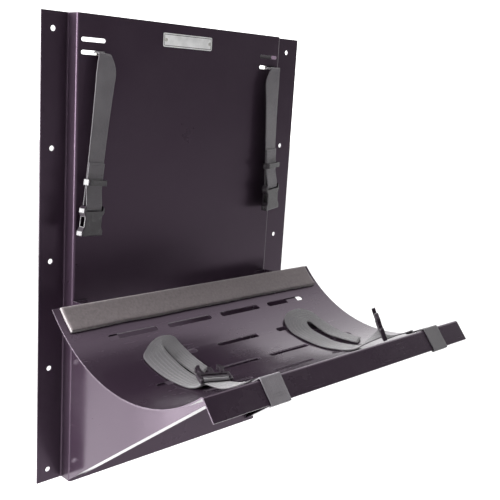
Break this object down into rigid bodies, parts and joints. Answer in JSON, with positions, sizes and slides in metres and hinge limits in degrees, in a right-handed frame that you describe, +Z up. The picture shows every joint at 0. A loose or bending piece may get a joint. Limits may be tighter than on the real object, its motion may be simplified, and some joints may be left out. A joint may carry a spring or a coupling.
{
  "type": "air pack wall bracket",
  "caption": "Wall bracket for a breathing-apparatus air pack: bent back panel, slotted curved cradle tray on gussets, and webbing straps with side-release buckles.",
  "frame": {"origin": "centre of the wall-bolt pattern on the wall plane, the back face of the bolting flanges", "axes": "+X to the right as seen from the front, +Y into the wall, +Z up; the cradle stands out towards -Y"},
  "size_m": [0.576, 0.4374, 0.757],
  "materials": {
    "panel_paint": "semi-gloss black powder coat",
    "tray_paint": "semi-gloss black powder coat",
    "gusset_paint": "gloss black powder coat",
    "zinc_steel": "zinc plated",
    "pad_foam": "closed-cell foam strip, matt",
    "plate_metal": "satin, blank",
    "webbing": "woven polyester webbing",
    "buckle_plastic": "moulded black acetal"
  },
  "bodies": {
    "bracket": {"back_panel": "panel_paint", "cradle_tray": "tray_paint", "left_gusset": "gusset_paint", "right_gusset": "gusset_paint", "gusset_screws": "zinc_steel", "gusset_nuts": "zinc_steel", "rear_pad": "pad_foam", "nameplate": "plate_metal", "nameplate_rivets": "plate_metal", "left_retaining_pin": "zinc_steel", "left_strap_anchor": "webbing", "left_lip_webbing": "webbing", "right_retaining_pin": "zinc_steel", "right_strap_anchor": "webbing", "right_lip_webbing": "webbing"},
    "left_hanger": {"left_hanging_strap": "webbing"},
    "left_keeper": {"left_strap_keeper": "buckle_plastic"},
    "left_socket": {"left_female_buckle": "buckle_plastic"},
    "left_tray_web": {"left_tray_strap": "webbing", "left_male_loop": "webbing", "left_tail_stub": "webbing"},
    "left_plug": {"left_male_buckle": "buckle_plastic"},
    "left_plug_inner_prong": {"left_prong_inner": "buckle_plastic"},
    "left_plug_outer_prong": {"left_prong_outer": "buckle_plastic"},
    "left_tail": {"left_strap_tail": "webbing"},
    "right_hanger": {"right_hanging_strap": "webbing"},
    "right_keeper": {"right_strap_keeper": "buckle_plastic"},
    "right_socket": {"right_female_buckle": "buckle_plastic"},
    "right_tray_web": {"right_tray_strap": "webbing", "right_male_loop": "webbing", "right_tail_stub": "webbing"},
    "right_plug": {"right_male_buckle": "buckle_plastic"},
    "right_plug_inner_prong": {"right_prong_inner": "buckle_plastic"},
    "right_plug_outer_prong": {"right_prong_outer": "buckle_plastic"},
    "right_tail": {"right_strap_tail": "webbing"}
  },
  "joints": [
    {"name": "left_strap_swing", "type": "hinge", "parent": "bracket", "child": "left_hanger", "pos_m": [-0.1825, -0.042, 0.3226], "axis": [-0.9937, 0.0006, 0.1123], "range_deg": [0, 150]},
    {"name": "left_socket_swing", "type": "hinge", "parent": "left_hanger", "child": "left_socket", "pos_m": [-0.20792, -0.04627, 0.089], "axis": [-0.945, -0.3085, 0.1085], "range_deg": [-4, 85]},
    {"name": "left_keeper_slide", "type": "slide", "parent": "left_hanger", "child": "left_keeper", "axis": [0.1123, 0.0052, 0.9937], "range_m": [-0.015, 0.022]},
    {"name": "left_tray_strap_lift", "type": "hinge", "parent": "bracket", "child": "left_tray_web", "pos_m": [-0.172, -0.399, -0.08387], "axis": [1, 0, 0], "range_deg": [0, 100]},
    {"name": "left_plug_swing", "type": "hinge", "parent": "left_tray_web", "child": "left_plug", "pos_m": [-0.166, -0.305, -0.1205], "axis": [0.9135, -0.4067, 0], "range_deg": [0, 95]},
    {"name": "left_inner_prong_flex", "type": "hinge", "parent": "left_plug", "child": "left_plug_inner_prong", "pos_m": [-0.17126, -0.27871, -0.1182], "axis": [0.0425, 0.0955, -0.9945], "range_deg": [0, 6], "stiffness_Nm_per_rad": 0.4},
    {"name": "left_outer_prong_flex", "type": "hinge", "parent": "left_plug", "child": "left_plug_outer_prong", "pos_m": [-0.14294, -0.29132, -0.1182], "axis": [-0.0425, -0.0955, 0.9945], "range_deg": [0, 6], "stiffness_Nm_per_rad": 0.4},
    {"name": "left_tail_lift", "type": "hinge", "parent": "left_tray_web", "child": "left_tail", "pos_m": [-0.171, -0.262, -0.13425], "axis": [1, 0, 0], "range_deg": [0, 35]},
    {"name": "right_strap_swing", "type": "hinge", "parent": "bracket", "child": "right_hanger", "pos_m": [0.178, -0.042, 0.3226], "axis": [-0.999, -0.0002, -0.0454], "range_deg": [0, 150]},
    {"name": "right_socket_swing", "type": "hinge", "parent": "right_hanger", "child": "right_socket", "pos_m": [0.18878, -0.04619, 0.10589], "axis": [-0.9553, -0.2926, -0.0418], "range_deg": [-4, 85]},
    {"name": "right_keeper_slide", "type": "slide", "parent": "right_hanger", "child": "right_keeper", "axis": [-0.0454, 0.0052, 0.999], "range_m": [-0.015, 0.022]},
    {"name": "right_tray_strap_lift", "type": "hinge", "parent": "bracket", "child": "right_tray_web", "pos_m": [0.1975, -0.399, -0.08387], "axis": [1, 0, 0], "range_deg": [0, 100]},
    {"name": "right_plug_swing", "type": "hinge", "parent": "right_tray_web", "child": "right_plug", "pos_m": [0.163, -0.351, -0.1], "axis": [0.6947, 0.7193, 0], "range_deg": [-30, 30]},
    {"name": "right_inner_prong_flex", "type": "hinge", "parent": "right_plug", "child": "right_plug_inner_prong", "pos_m": [0.14605, -0.35618, -0.07975], "axis": [-0.6622, 0.6394, -0.3907], "range_deg": [0, 6], "stiffness_Nm_per_rad": 0.4},
    {"name": "right_outer_prong_flex", "type": "hinge", "parent": "right_plug", "child": "right_plug_outer_prong", "pos_m": [0.16758, -0.33388, -0.07975], "axis": [0.6622, -0.6394, 0.3907], "range_deg": [0, 6], "stiffness_Nm_per_rad": 0.4},
    {"name": "right_tail_lift", "type": "hinge", "parent": "right_tray_web", "child": "right_tail", "pos_m": [0.131, -0.306, -0.12829], "axis": [1, 0, 0], "range_deg": [0, 60]}
  ]
}
